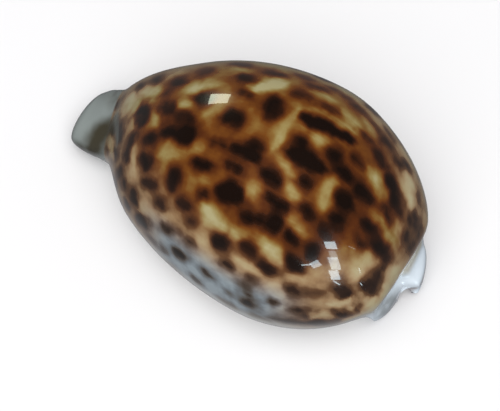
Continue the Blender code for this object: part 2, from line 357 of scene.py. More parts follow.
def bendLoft(points):  # rocker, overhang, lobe, skewed narrow end and the worn flat spot
    form, ends, mouth = shellForm, shellEnds, shellMouth
    x, y, z = points[..., 0], points[..., 1], points[..., 2]
    outer = np.maximum(np.abs(x) - form["rockerFrom"], 0) / (form["length"] / 2 - form["rockerFrom"])
    above = smoothStep(z, *form["overhangZ"][:2]) * (1 - smoothStep(z, *form["overhangZ"][2:]))
    toOuterLip = form["overhangInner"] + (1 - form["overhangInner"]) * smoothStep(y, *form["overhangY"])
    bulge = form["overhang"] * smoothStep(x, *form["overhangX"]) * above * toOuterLip
    across = smoothStep(y - np.interp(x, mouth["slitX"], mouth["slitY"]), *ends["lobeWall"])
    across = across * (1 - ends["lobeSlant"] * smoothStep(y, 0.0, ends["lobeSlantY"]))
    lobe = ends["lobeReach"] * smoothStep(x, ends["flangeRootX"], ends["flangeTip"]) * across
    lobe = lobe * (1 - smoothStep(z, *ends["lobeZ"]))
    height = np.maximum(z + form["rocker"] * outer ** 2 - form["flatSpot"], 0.0)
    return np.stack([x + bulge + lobe - skewAt(x, y), y, height], axis=-1)


def stationPlaces():
    form, ends, mouth, mesh = shellForm, shellEnds, shellMouth, shellMesh
    turn = np.linspace(0.0, math.pi / 2, mesh["rimStations"] + 1)[:-1]
    narrow = -form["length"] / 2 + ends["rimRadius"] * (1 - np.cos(turn))
    broad = ends["flangeTip"] - ends["rimRadius"] * (1 - np.cos(turn))
    step = mouth["toothPitch"] / mesh["stationsPerTooth"]
    count = int((broad[-1] - narrow[-1]) / step)
    inner = np.linspace(narrow[-1], broad[-1], count + 1)
    return np.concatenate([narrow, inner[1:-1], broad[::-1]])


def softNoise(points, wavelength, seed):  # smooth values from -1 to 1 at points in millimetres
    offset = Vector((17.3, 5.1, 9.7)) * seed  # another stretch of the same noise for each seed
    return np.array([noise.noise(Vector(p) / wavelength + offset) for p in points])


def shellFrom():
    # every vertex's place and the values that its colour is worked out from
    loops, crowns, grooves, bodyShares = [], [], [], []
    for x in stationPlaces():
        loop, fromCrown = station(x)
        loop, groove = cutTeeth(loop, x)
        loops.append(np.column_stack([np.full(len(loop), x), loop]))
        crown = np.zeros(len(loop))
        crown[outsideAt] = fromCrown
        crowns.append(crown)
        grooves.append(groove)
        bodyWidth, bodyTop, _ = bodySizes(x)
        endWidth, endTop = endSizes(x)
        _, top, margin, _ = sizesAt(x)
        upward = np.clip((loop[:, 1] - margin) / max(top - margin, 1.0), 0.0, 1.0)
        bodyShares.append((bodyWidth - endWidth) * (1 - upward) + (bodyTop - endTop) * upward)
    straight = np.array(loops)
    return straight, bendLoft(straight), np.array(crowns), np.array(grooves), np.array(bodyShares)


straight, bent, fromCrown, groove, bodyLead = shellFrom()
rowCount, loopCount, _ = bent.shape
print("shell form:", rowCount, "stations of", loopCount, "points")


# The colour pattern. Marks are placed on the back as on a map: millimetres along the shell, and
# millimetres round it from the crown line, positive towards the outer lip.
# Each is along, round, half length, half width, turn in degrees, strength.

mainMarks = [
    # over the narrow third
    (-32.4, 1.6, 1.2, 0.8, 90, 0.7), (-29.5, -4.3, 2.4, 1.1, -45, 0.85),
    (-29.0, -9.0, 2.0, 1.0, -60, 0.6), (-27.0, 3.6, 2.2, 1.2, -45, 0.65),
    (-26.0, -7.2, 2.6, 1.0, -60, 0.8), (-24.9, -12.0, 2.2, 1.1, -60, 0.7),
    (-24.2, 5.3, 2.2, 1.4, -60, 0.65), (-24.0, -20.5, 1.9, 1.1, -60, 0.75),
    (-21.7, -4.3, 3.2, 1.7, -58, 0.95), (-21.4, -9.3, 2.2, 1.4, -75, 0.85),
    (-20.8, -13.2, 2.3, 1.1, -65, 0.8), (-21.6, -17.3, 2.0, 1.3, -60, 0.75),
    (-19.5, -20.4, 1.8, 1.1, -60, 0.75), (-19.3, 1.2, 1.8, 1.2, 0, 0.5),
    (-18.1, 4.4, 2.0, 1.6, -20, 0.75), (-18.1, -26.3, 1.7, 1.0, -60, 0.8),
    (-16.7, -2.5, 1.9, 1.7, 0, 0.8), (-16.6, -9.4, 2.0, 1.5, -30, 0.95),
    (-15.9, -23.2, 2.5, 1.5, -60, 0.9), (-15.4, -14.2, 2.6, 1.6, -42, 1.0),
    (-14.8, 8.9, 1.9, 2.1, 0, 0.6), (-13.4, -7.3, 1.9, 1.6, 0, 0.9), (-13.1, -18.8, 2.3, 1.6, -15, 0.8),
    (-12.6, -29.3, 2.4, 1.5, -55, 0.95), (-12.0, -3.6, 3.0, 1.3, -15, 0.6),
    (-10.3, 1.3, 2.2, 1.4, 10, 0.85),
    # over the middle
    (-9.8, -7.0, 2.2, 1.8, 0, 1.0), (-9.0, -22.0, 1.9, 1.4, -20, 0.8), (-8.8, 14.4, 2.4, 1.6, 10, 0.6),
    (-7.8, -16.4, 2.5, 1.7, -75, 0.9), (-6.2, -27.6, 1.8, 1.2, -20, 0.75),
    (-6.2, -35.4, 1.7, 1.0, -50, 0.7), (-9.8, -34.2, 1.5, 0.8, -50, 0.6),
    (-5.6, 9.3, 2.3, 1.6, 0, 0.75), (-4.0, -40.6, 1.8, 0.9, -30, 0.75),
    (-3.9, -20.4, 2.0, 1.5, -10, 0.85), (-3.5, -11.6, 2.4, 1.1, 0, 0.9),
    (-3.3, -27.4, 1.1, 0.9, 0, 0.35), (-3.2, 5.1, 1.9, 1.0, 0, 0.7), (-2.8, -6.5, 1.9, 1.0, 0, 0.6),
    (-2.7, -0.9, 2.7, 2.1, 0, 0.95), (-2.2, -33.2, 1.8, 1.5, 0, 1.0), (-1.6, 14.2, 2.4, 1.5, 10, 0.65),
    (-1.0, -23.5, 1.6, 1.4, 0, 0.55), (-0.7, -17.2, 1.7, 1.6, 0, 0.75),
    (0.1, -28.1, 1.5, 1.1, -20, 0.7), (2.4, -9.8, 2.6, 1.0, -8, 0.75), (2.7, -39.6, 1.6, 1.0, -20, 0.9),
    (3.0, 4.8, 3.1, 2.0, -70, 0.85), (3.2, -6.2, 3.6, 1.3, 0, 0.8), (3.8, 17.9, 2.4, 1.2, 8, 0.6),
    (4.2, -4.2, 1.9, 1.6, 0, 0.8), (4.3, -14.7, 3.3, 2.3, -5, 1.0), (4.9, -34.4, 1.6, 1.1, -10, 0.8),
    (5.7, -24.3, 2.6, 1.9, 0, 1.0), (5.9, 10.9, 2.5, 1.4, 0, 0.6), (7.4, 15.8, 2.6, 1.2, 8, 0.6),
    (8.5, -28.6, 1.8, 1.3, 0, 0.8), (9.0, -17.3, 1.8, 1.5, 0, 0.9), (9.9, -8.0, 2.3, 1.5, -10, 0.95),
    (10.2, -36.7, 1.3, 1.0, 0, 0.6), (10.2, -41.6, 2.0, 1.0, 0, 0.9), (11.0, 18.9, 3.2, 1.3, 5, 0.6),
    (11.3, 0.6, 1.7, 1.3, 0, 0.9), (11.6, -16.2, 1.6, 1.2, 0, 0.9), (11.7, -22.6, 2.2, 1.6, 0, 0.9),
    (12.2, 11.4, 1.9, 1.5, 0, 0.6), (13.0, -11.4, 3.1, 1.3, -5, 0.85), (13.0, -31.2, 1.6, 1.2, 0, 0.55),
    (13.6, 6.8, 5.7, 1.3, 14, 1.0), (13.8, -1.7, 4.5, 1.6, 8, 0.95), (14.1, -15.1, 2.1, 1.7, 90, 0.95),
    (14.2, -33.4, 1.4, 1.0, 0, 0.55), (14.3, -36.2, 1.8, 1.4, 30, 0.9),
    (14.4, -28.4, 1.8, 1.3, 15, 0.65),
    # over the broad third
    (16.6, -40.0, 2.8, 1.0, 20, 0.8), (16.0, -5.4, 1.9, 1.8, 0, 0.9), (16.1, -23.7, 2.0, 1.4, 15, 0.85),
    (15.8, 17.4, 2.4, 1.5, -12, 0.7), (17.6, 2.8, 2.0, 1.3, 0, 0.9), (18.2, -15.7, 1.6, 1.5, 0, 0.9),
    (18.5, -9.7, 1.8, 1.6, 0, 0.9), (18.8, -31.0, 1.8, 1.2, 35, 0.85),
    (20.0, 16.4, 2.0, 1.2, -30, 0.65), (20.1, -19.3, 2.2, 1.6, 20, 1.0),
    (20.6, 11.5, 2.0, 1.2, -10, 0.6), (20.6, 1.3, 2.4, 1.6, 0, 1.0), (21.2, -24.9, 1.9, 1.2, 35, 0.75),
    (20.3, -36.4, 2.2, 1.0, 45, 0.65), (21.3, 5.2, 1.5, 1.2, 0, 0.8), (22.2, -14.8, 1.9, 1.6, 90, 1.0),
    (22.4, -10.3, 1.9, 1.4, 20, 0.8), (22.2, 19.2, 2.2, 1.2, -40, 0.6),
    (25.4, -26.2, 2.3, 1.1, 50, 0.45), (23.2, -34.0, 3.0, 1.1, 52, 0.7), (23.0, -3.2, 1.9, 1.7, 0, 1.0),
    (23.0, 14.7, 1.8, 1.5, -50, 0.7), (23.0, -29.6, 2.1, 1.1, 50, 0.75), (23.8, -7.2, 1.5, 1.4, 0, 0.9),
    (23.9, 9.4, 2.2, 1.5, -55, 0.8), (24.6, -21.6, 2.8, 1.2, 52, 0.45), (25.2, 0.7, 2.1, 1.4, 20, 0.9),
    (25.6, 3.2, 1.4, 1.0, 0, 0.3), (26.4, -29.8, 2.6, 1.0, 58, 0.7), (26.6, 14.2, 2.3, 1.3, 90, 0.65),
    (27.7, -3.2, 1.5, 1.5, 0, 0.9), (28.0, -6.6, 1.4, 1.3, 0, 0.6), (28.2, 5.8, 3.3, 1.4, -55, 0.95),
    (29.4, -21.4, 2.6, 0.8, 70, 0.75), (28.3, -16.8, 2.6, 1.2, 60, 0.8),
    (28.6, -26.0, 2.2, 0.8, 62, 0.6), (29.2, 1.3, 1.9, 1.0, -80, 0.8), (30.3, -4.4, 1.8, 1.8, 0, 1.0),
    (30.8, 11.0, 1.5, 0.8, -70, 0.6), (31.5, -17.0, 2.6, 0.8, 75, 0.8),
    (31.4, -10.8, 2.4, 1.0, 78, 0.9), (31.8, 6.1, 2.2, 1.0, -80, 0.85), (32.4, 2.0, 1.6, 0.8, -80, 0.7),
    (32.0, -7.2, 2.0, 0.7, 84, 0.85), (33.3, 6.5, 1.9, 0.6, -80, 0.6), (33.4, 2.7, 1.6, 0.6, -85, 0.6),
]

paleWindows = [
    # the lightest gaps between marks, given the same way
    (-27.6, -9.5, 4.5, 0.8, -60, 0.7), (-26.6, -0.5, 3.4, 1.3, -50, 0.95),
    (-23.5, 1.9, 3.2, 1.2, -10, 0.9), (-22.8, -6.0, 2.4, 0.8, -60, 0.7),
    (-21.5, -0.6, 1.2, 0.8, 0, 0.5), (-19.6, -12.0, 4.0, 0.6, -65, 0.5),
    (-18.4, -4.8, 1.5, 1.1, -60, 0.7), (-14.2, 3.4, 2.2, 1.2, 20, 0.9), (-13.5, -0.8, 1.3, 1.2, 0, 0.8),
    (-13.5, -24.5, 2.0, 0.9, -50, 0.5), (-11.3, 5.1, 2.5, 0.8, 15, 0.6),
    (-11.0, -11.0, 2.4, 1.6, 0, 0.5), (-8.0, 11.8, 1.6, 1.1, 0, 0.7), (-7.3, -1.1, 2.4, 1.0, 55, 0.6),
    (-6.0, -9.4, 1.4, 0.9, -60, 0.5), (-1.5, -14.4, 1.3, 1.1, 0, 0.4), (-0.6, 9.8, 4.2, 1.3, 53, 1.0),
    (2.5, -25.5, 2.0, 1.0, 90, 0.5), (3.0, -20.4, 3.4, 1.5, -20, 0.85), (7.4, 1.5, 5.0, 0.9, 90, 0.6),
    (8.0, -12.0, 1.6, 1.1, 60, 0.6), (8.6, -21.0, 1.6, 1.0, -40, 0.7), (9.3, 13.8, 2.2, 1.0, 0, 0.7),
    (11.5, -5.2, 2.2, 0.7, -10, 0.6), (12.5, -26.0, 3.0, 1.0, 0, 0.4), (14.0, 9.7, 4.2, 0.8, 8, 0.6),
    (14.2, 3.3, 1.6, 1.2, 0, 0.7), (14.4, -8.3, 1.7, 0.9, -50, 0.7), (15.8, -20.2, 2.0, 1.3, 0, 1.0),
    (16.5, 12.6, 2.6, 0.9, 0, 0.7), (18.0, -13.0, 2.0, 1.0, 0, 0.7), (18.6, -26.2, 1.6, 1.2, 90, 0.5),
    (19.7, 14.8, 1.8, 1.0, -30, 0.7), (20.1, -4.3, 3.0, 1.0, 90, 0.7), (25.4, 4.3, 1.8, 1.0, -40, 0.9),
    (19.9, -28.4, 1.4, 0.7, 60, 0.6), (21.2, -30.8, 1.8, 0.6, 50, 0.6),
    (21.9, -21.4, 2.0, 0.7, 40, 0.5), (26.7, -26.6, 2.4, 0.5, 58, 0.7),
    (28.8, -19.4, 3.4, 0.7, 66, 0.9), (32.4, -14.4, 3.6, 0.5, 77, 0.9), (29.5, 9.9, 3.4, 0.8, -62, 0.9),
    (29.6, -9.0, 3.2, 1.1, 80, 0.8), (29.8, -1.0, 2.2, 0.8, -10, 0.7), (31.2, 0.8, 1.4, 0.6, -70, 0.7),
    (33.7, -6.0, 3.5, 0.5, 88, 1.0),
]

brownClouds = [
    # broad patches where the ground between the marks is darker, given the same way
    (-19.0, -1.0, 4.0, 2.5, 0, 0.2), (-14.0, -5.0, 5.0, 2.0, -10, 1.0), (-11.0, 1.0, 4.0, 2.0, 0, 0.6),
    (-8.0, -7.0, 4.0, 2.6, 0, 1.0), (-4.0, 8.0, 5.0, 2.5, 0, 0.5), (0.0, -13.5, 9.0, 2.5, 0, 0.5),
    (3.0, -7.0, 5.5, 3.0, 0, 1.0), (3.0, 4.5, 3.0, 3.5, 0, 0.6), (14.0, -1.0, 6.0, 3.0, 0, 0.7),
    (14.0, -14.0, 6.0, 3.5, 0, 0.8), (15.0, 7.0, 6.0, 2.0, 12, 0.6), (23.0, -4.0, 3.5, 5.0, 0, 0.7),
]

endStainsAndShade = [
    # dark patches on the porcelain of the beak and under the broad edge, given the same way: partly
    # brown stain, partly painted shade low on the beak's near side and in the crease under the broad
    # edge
    # the first two: the neck's brown stain with painted shade over it, and painted shade low on the
    # beak's near side
    (-32.3, -6.2, 5.2, 2.5, 76, 1.0), (-36.0, -10.4, 3.0, 2.2, 80, 0.9),
    # the second here is painted shade in the crease under the broad edge
    (-34.2, 4.0, 3.0, 0.7, -80, 0.5), (36.2, -6.5, 3.6, 0.8, 80, 0.6),
]

patternRule = {
    "seed": 11,
    "sideMarks": 260,               # tries at a mark on the sides that mainMarks leaves free
    "freeAlong": (-31.0, 33.0),     # where they may lie along the shell
    "farSide": 21.0,                # and where they start, round from the crown line
    "pastWidest": 1.0,              # how far they go past the widest line
    "nearShare": 0.35,              # share of them that lies low on the near side
    "nearBand": (-3.0, 1.0),        # and where that is, from their limit
    "spacing": 5.2,                 # between the middles of two marks
    "markSize": (1.5, 2.4),
    "markWidth": (0.65, 1.0),       # as a share of its length
    "strengths": (0.6, 1.0),
    "warp": (0.75, 0.32),           # how far the outlines wander, and over what lengths
    "warpLength": (3.4, 1.3),
    "coreEdge": (0.75, -1.5),       # a mark darkens between these distances from its outline
    "haloEdge": (2.5, -0.6),        # and the glow round it between these
    "windowEdge": (1.7, -1.1),      # the same for the pale windows
    "cloudEdge": (2.6, -2.4),       # the brown clouds
    "stainAndShadeEdge": (2.4, -2.0),       # and the stains and painted shade on the two ends
    "windowInHalo": 0.65,           # how far a pale window clears the glow
    "cloudDepth": 0.45,             # how much darker a cloud makes the ground
    "tanNear": (22.0, 12.0),        # the tone turns from warm to tan between these heights over the
    "tanFar": (25.0, 15.0),         # widest line, on the inner and the outer lip's side
    "tanClear": 0.10,               # and its ground and glows are this much clearer
    "farPaintedLight": (13.0, 22.0),        # painted light: the ground of the outer lip's side is painted paler from the crown line out by this much, standing in for light falling on that side
    "farPaintedLightShare": 0.55,               # by this much
    "coolHeights": (14.0, 7.0),     # the tone turns to cool grey between these heights
    "coolStart": (-15.0, -4.0),     # on this stretch along the shell
    "coolStop": (16.0, 26.0),
    "coolFar": 0.12,                # and hardly on the outer lip's side
    "baseNear": (1.5, -5.0),        # it turns to the base's white between these heights
    "baseFar": (2.0, -5.0),
    "rimStart": (28.0, 33.0),       # a cream line follows the body's broad edge, from here along the
    "rimLead": (9.0, 4.0),          # shell and as near the flange as this
    "rimClear": 0.75,               # and lightens the marks on it by this much
    "bodyStart": (-1.8, 0.0),       # where the coloured enamel begins past the porcelain ends
    "whiteEnd": (10.0, 34.0),       # the porcelain turns from the beak's grey to the lobes' white, partly its own tone and partly painted light: darker at the beak, lighter at the broad end
}


def widestLine(x):  # distance round from the crown line to the widest line
    halfWidth, top, margin, _ = sizesAt(x)
    quarter = outline(np.linspace(math.pi / 2, math.pi, 60), halfWidth, margin, 0.0, top)
    return pathLength(quarter)[-1]


stations = stationPlaces()
widest = np.array([widestLine(x) for x in stations])
alongMap = straight[..., 0] - skewAt(straight[..., 0], straight[..., 1])
roundMap = fromCrown
widestMap = np.repeat(widest[:, None], loopCount, axis=1)


def freeMarks():
    # marks for the far side, the two ends and low on the near side, none closer than the spacing
    rule = patternRule
    draw = random.Random(rule["seed"])
    marks = []
    for _ in range(rule["sideMarks"]):
        x = draw.uniform(*rule["freeAlong"])
        limit = np.interp(x, stations, widest) + rule["pastWidest"]
        around = draw.uniform(rule["farSide"], limit) if limit > rule["farSide"] else None
        if draw.random() < rule["nearShare"]:
            around = -draw.uniform(*(limit + place for place in rule["nearBand"]))
        if around is None:
            continue
        long = draw.uniform(*rule["markSize"])
        wide = long * draw.uniform(*rule["markWidth"])
        mark = (x, around, long, wide, draw.uniform(-90, 90), draw.uniform(*rule["strengths"]))
        if all(math.dist(mark[:2], other[:2]) > rule["spacing"] for other in mainMarks + marks):
            marks.append(mark)
    return marks


def markDepth(along, around, mark, *edges):
    # for each pair of edges, 0 outside the mark and 1 inside; it turns between those two distances
    # from the mark's outline
    x, crown, long, wide, turn, _ = mark
    cosine, sine = math.cos(math.radians(turn)), math.sin(math.radians(turn))
    dx, dr = along - x, around - crown
    share = np.hypot((dx * cosine + dr * sine) / long, (dr * cosine - dx * sine) / wide)
    outside = np.hypot(dx, dr) * (1 - 1 / np.maximum(share, 0.01))
    depths = [smoothStep(-outside, -outer, -inner) for outer, inner in edges]
    return depths[0] if len(depths) == 1 else depths


def markFields(along, around, marks):
    # how dark the marks make each point, and how deep it lies in the glow round them
    rule = patternRule
    bright, clear = np.ones(along.shape), np.ones(along.shape)
    for mark in marks:
        core, halo = markDepth(along, around, mark, rule["coreEdge"], rule["haloEdge"])
        bright = bright * (1 - mark[5] * core)
        clear = clear * (1 - mark[5] * halo)
    return 1 - bright, 1 - clear


def strongest(along, around, patches, edge):  # where soft patches lie, the strongest counting
    return np.max([patch[5] * markDepth(along, around, patch, edge) for patch in patches], axis=0)


def falling(value, limits):  # 0 above the first limit, 1 below the second
    return smoothStep(-value, -limits[0], -limits[1])


def patternFields():
    rule = patternRule
    flat = bent.reshape(-1, 3)
    along, around = alongMap, roundMap
    for seed, (amount, wavelength) in enumerate(zip(rule["warp"], rule["warpLength"])):
        along = along + amount * softNoise(flat, wavelength, 2 * seed + 1).reshape(alongMap.shape)
        around = around + amount * softNoise(flat, wavelength, 2 * seed + 2).reshape(alongMap.shape)
    core, halo = markFields(along, around, mainMarks + freeMarks())
    above = widestMap - np.abs(roundMap)
    isFar = roundMap > 0
    tan = np.where(isFar, falling(above, rule["tanFar"]), falling(above, rule["tanNear"]))
    clearing = 1 - rule["tanClear"] * tan
    cool = falling(above, rule["coolHeights"]) * np.where(isFar, rule["coolFar"], 1.0)
    cool = cool * smoothStep(alongMap, *rule["coolStart"])
    cool = cool * (1 - smoothStep(alongMap, *rule["coolStop"]))
    base = np.where(isFar, falling(above, rule["baseFar"]), falling(above, rule["baseNear"]))
    rim = smoothStep(along, *rule["rimStart"]) * falling(bodyLead, rule["rimLead"])
    window = np.maximum(rim, strongest(along, around, paleWindows, rule["windowEdge"]))
    core = core * (1 - rule["rimClear"] * rim)
    halo = halo * (1 - rule["windowInHalo"] * window) * clearing
    ground = 1 + rule["cloudDepth"] * strongest(along, around, brownClouds, rule["cloudEdge"])
    # painted light: the outer lip's side is painted paler from the crown line out
    ground = ground * clearing * (1 - rule["farPaintedLightShare"] * smoothStep(roundMap, *rule["farPaintedLight"]))
    # brown stains and painted shade on the two porcelain ends
    stainAndShade = strongest(along, around, endStainsAndShade, rule["stainAndShadeEdge"])
    body = smoothStep(bodyLead, *rule["bodyStart"])
    isOutside = np.zeros(alongMap.shape)
    isOutside[:, outsideAt] = 1.0
    return {
        "markCore": core * isOutside,
        "markHalo": halo * isOutside,
        "groundShare": ground * (1 - window) * isOutside,
        "tanEdge": tan,
        "coolMargin": cool,
        "baseShare": np.where(isOutside > 0, base, 1.0),
        "bodyShare": body,
        "endStain": stainAndShade * isOutside,
        # porcelain tone, partly painted light: darker at the beak, lighter at the broad end
        "whiteEnd": smoothStep(alongMap, *rule["whiteEnd"]),
        "toothGroove": groove,
        "hollowShare": 1 - isOutside,
    }


fields = patternFields()
print("pattern:", len(mainMarks), "placed marks")


# The mesh.


def ringCap(points, row, outward, firstNew):
    # closes one end: a rounded band from the outside to the slit, canal and cavity
    outsideIds = list(range(row * loopCount + outsideAt.start, row * loopCount + outsideAt.stop))
    insideIds = list(range(row * loopCount + outsideAt.stop, (row + 1) * loopCount))
    insideIds += list(range(row * loopCount, row * loopCount + outsideAt.start))
    insideIds = insideIds[::-1]
    outer, inner = points[outsideIds], points[insideIds]
    outerShare, innerShare = pathLength(outer), pathLength(inner)
    outerShare, innerShare = outerShare / outerShare[-1], innerShare / innerShare[-1]
    facing = pointsAt(inner, innerShare, outerShare)
    middle = (outer + facing) / 2 + (outward * shellEnds["rimBulge"], 0, 0)
    middleIds = list(range(firstNew, firstNew + len(middle)))
    faces = []
    for k in range(len(outsideIds) - 1):
        faces.append((outsideIds[k], outsideIds[k + 1], middleIds[k + 1], middleIds[k]))
    i, k = 0, 0
    outerShare, innerShare = np.append(outerShare, 2.0), np.append(innerShare, 2.0)
    while i < len(middleIds) - 1 or k < len(insideIds) - 1:
        if outerShare[i + 1] < innerShare[k + 1]:
            faces.append((middleIds[i], middleIds[i + 1], insideIds[k]))
            i += 1
        else:
            faces.append((middleIds[i], insideIds[k + 1], insideIds[k]))
            k += 1
    faces.append((outsideIds[0], middleIds[0], insideIds[0]))
    faces.append((outsideIds[-1], insideIds[-1], middleIds[-1]))
    if outward < 0:
        faces = [face[::-1] for face in faces]
    return middle, faces, outsideIds


def shellObject():
    points = bent.reshape(-1, 3)
    values = {name: field.reshape(-1) for name, field in fields.items()}
    faces = []
    for row in range(rowCount - 1):
        for k in range(loopCount):
            after = (k + 1) % loopCount
            here, there = row * loopCount, (row + 1) * loopCount
            faces.append((here + k, here + after, there + after, there + k))
    for row, outward in ((0, -1), (rowCount - 1, 1)):
        added, capFaces, like = ringCap(points, row, outward, len(points))
        points = np.vstack([points, added])
        faces += capFaces
        values = {name: np.concatenate([value, value[like]]) for name, value in values.items()}
    low, high = points.min(axis=0), points.max(axis=0)
    cadMiddle = (np.array(shellLow) + np.array(shellHigh)) / 2 / millimetre
    shift = cadMiddle - (low + high) / 2
    shift[2] = shellLow.z / millimetre - low[2]
    mesh = bpy.data.meshes.new("cowrieShell")
    mesh.from_pydata(((points + shift) * millimetre).tolist(), [], faces)
    for name, value in values.items():
        layer = mesh.attributes.new(name, "FLOAT", "POINT")
        layer.data.foreach_set("value", value.astype(np.float32))
    mesh.shade_smooth()
    mesh.update()
    piece = bpy.data.objects.new("cowrieShell", mesh)
    bpy.context.scene.collection.objects.link(piece)
    return piece


shell = shellObject()
print("shell mesh:", len(shell.data.vertices), "vertices,", len(shell.data.polygons), "faces")


# Shader maths: sums on wires add Math nodes.


class Wire:
    def __init__(self, tree, socket):
        self.tree = tree
        self.socket = socket

    def node(self, kind, settings=None, sockets=None, output=0):
        made = self.tree.nodes.new(kind)
        for name, value in (settings or {}).items():
            if name == "stops":
                ramp = made.color_ramp
                for place, colour in value[2:]:
                    ramp.elements.new(place)
                for element, (place, colour) in zip(ramp.elements, sorted(value)):
                    element.position = place
                    element.color = colour
            else:
                setattr(made, name, value)
        for key, value in (sockets or {}).items():
            if isinstance(value, Wire):
                self.tree.links.new(value.socket, made.inputs[key])
            else:
                made.inputs[key].default_value = value
        return Wire(self.tree, made.outputs[output])

    def math(self, operation, *values):
        return self.node("ShaderNodeMath", {"operation": operation}, dict(enumerate(values)))

    def __add__(self, other):
        return self.math("ADD", self, other)

    def __radd__(self, other):
        return self.math("ADD", other, self)

    def __sub__(self, other):
        return self.math("SUBTRACT", self, other)

    def __rsub__(self, other):
        return self.math("SUBTRACT", other, self)

    def __mul__(self, other):
        return self.math("MULTIPLY", self, other)

    def __rmul__(self, other):
        return self.math("MULTIPLY", other, self)

    def clamped(self):
        made = self.math("MULTIPLY", self, 1.0)
        made.socket.node.use_clamp = True
        return made

    def eased(self, start, end):
        sockets = {"Value": self, "From Min": start, "From Max": end}
        return self.node("ShaderNodeMapRange", {"interpolation_type": "SMOOTHSTEP"}, sockets)

    def mixed(self, first, second):  # first where this wire is 0, second where it is 1
        return self.node("ShaderNodeMix", {"data_type": "RGBA"}, {0: self, 6: first, 7: second}, 2)


def paint(*display):  # red, green and blue from 0 to 255, as the linear colour that nodes take
    shares = [c / 255 for c in display]
    linear = [c / 12.92 if c <= 0.04045 else ((c + 0.055) / 1.055) ** 2.4 for c in shares]
    return (*linear, 1.0)


enamelFinish = {
    "warmStops": [
        (0.0, paint(168, 158, 116)), (0.14, paint(148, 129, 78)), (0.28, paint(130, 96, 45)),
        (0.42, paint(110, 63, 20)), (0.58, paint(82, 40, 13)), (0.80, paint(44, 21, 9)),
        (1.0, paint(22, 11, 6)),
    ],
    "tanStops": [
        (0.0, paint(188, 177, 140)), (0.2, paint(178, 155, 118)), (0.35, paint(155, 124, 89)),
        (0.5, paint(102, 70, 44)), (0.75, paint(50, 30, 19)), (1.0, paint(27, 15, 9)),
    ],
    "coolStops": [
        (0.0, paint(156, 168, 174)), (0.2, paint(122, 129, 134)), (0.4, paint(98, 95, 91)),
        (0.6, paint(66, 54, 44)), (0.8, paint(38, 29, 21)), (1.0, paint(24, 17, 11)),
    ],
    "baseWhite": paint(234, 232, 226),
    "grooveCream": paint(180, 165, 140),
    # the porcelain's grey and white, with painted shade on the beak and painted light on the lobes
    "beakGreyAndShade": paint(134, 141, 138),
    "lobeWhiteAndLight": paint(220, 231, 240),
    # the dark olive of the end stains and of their painted shade
    "stainAndShadeBrown": paint(62, 58, 46),
    "hollowTone": paint(172, 163, 162),
    "ground": 0.31,                 # how dark the enamel is away from marks and pale windows
    "coreWeight": 0.44,             # how much darker a mark makes it
    "haloWeight": 0.30,             # and the glow round a mark
    "mottleScale": 480.0,
    "mottleDetail": 3.0,
    "mottleAmount": 0.26,
    "cloudScale": 170.0,
    "cloudDetail": 2.0,
    "cloudAmount": 0.30,
    "coolClear": 0.27,              # the margin's grey is this much clearer, and its marks harder
    "coolContrast": 1.35,
    "roughness": 0.22,
    "roughnessSpread": 0.06,
    "coatRoughness": 0.03,
    "underGloss": 0.25,             # specular level of the enamel under its clear coat
    "bumpScale": 140.0,
    "bumpDetail": 1.0,
    "bumpDistance": 0.00006,
    "grooveTint": 0.8,              # how far the grooves take on their cream
    "hollowTint": 0.7,              # and the inside its own tone
}


def enamelMaterial():
    finish = enamelFinish
    material = bpy.data.materials.new("tigerEnamel")
    material.use_nodes = True
    tree = material.node_tree
    shader = tree.nodes["Principled BSDF"]
    start = Wire(tree, None)
    place = start.node("ShaderNodeTexCoord", output=3)

    def field(name):
        return start.node("ShaderNodeAttribute", {"attribute_name": name}, output=2)

    def grain(name):
        sockets = {"Vector": place, "Scale": finish[name + "Scale"], "Detail": finish[name + "Detail"]}
        return start.node("ShaderNodeTexNoise", {}, sockets)

    mottle, cloud, swell = grain("mottle"), grain("cloud"), grain("bump")
    marks = field("markCore") * finish["coreWeight"] + field("markHalo") * finish["haloWeight"]
    ground = field("groundShare") * finish["ground"]
    uneven = (mottle - 0.5) * finish["mottleAmount"] + (cloud - 0.5) * finish["cloudAmount"]
    darkness = (marks + ground + uneven).clamped()
    warm = start.node("ShaderNodeValToRGB", {"stops": finish["warmStops"]}, {0: darkness})
    tan = start.node("ShaderNodeValToRGB", {"stops": finish["tanStops"]}, {0: darkness})
    coolDark = ((darkness - finish["coolClear"]) * finish["coolContrast"]).clamped()
    cool = start.node("ShaderNodeValToRGB", {"stops": finish["coolStops"]}, {0: coolDark})
    colour = field("tanEdge").mixed(warm, tan)
    colour = field("coolMargin").mixed(colour, cool)
    colour = field("baseShare").mixed(colour, finish["baseWhite"])
    colour = (field("toothGroove") * finish["grooveTint"]).mixed(colour, finish["grooveCream"])
    # the porcelain ends: their own grey and white with painted light, darker at the beak and lighter at
    # the broad end
    porcelain = field("whiteEnd").mixed(finish["beakGreyAndShade"], finish["lobeWhiteAndLight"])
    colour = field("bodyShare").mixed(porcelain, colour)
    # brown stain and painted shade on the porcelain ends
    colour = field("endStain").mixed(colour, finish["stainAndShadeBrown"])
    colour = (field("hollowShare") * finish["hollowTint"]).mixed(colour, finish["hollowTone"])
    tree.links.new(colour.socket, shader.inputs["Base Color"])
    rough = finish["roughness"] + (swell - 0.5) * finish["roughnessSpread"]
    tree.links.new(rough.socket, shader.inputs["Roughness"])
    bump = start.node("ShaderNodeBump", {}, {"Distance": finish["bumpDistance"], "Height": swell})
    tree.links.new(bump.socket, shader.inputs["Normal"])
    shader.inputs["Specular IOR Level"].default_value = finish["underGloss"]
    shader.inputs["Coat Weight"].default_value = 1.0
    shader.inputs["Coat Roughness"].default_value = finish["coatRoughness"]
    return material


shell.data.materials.append(enamelMaterial())
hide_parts("cowrie_shell")
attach(shell, "root")
print("enamel: pattern, gloss and grain are on the shell")


# Floor, lights and camera.

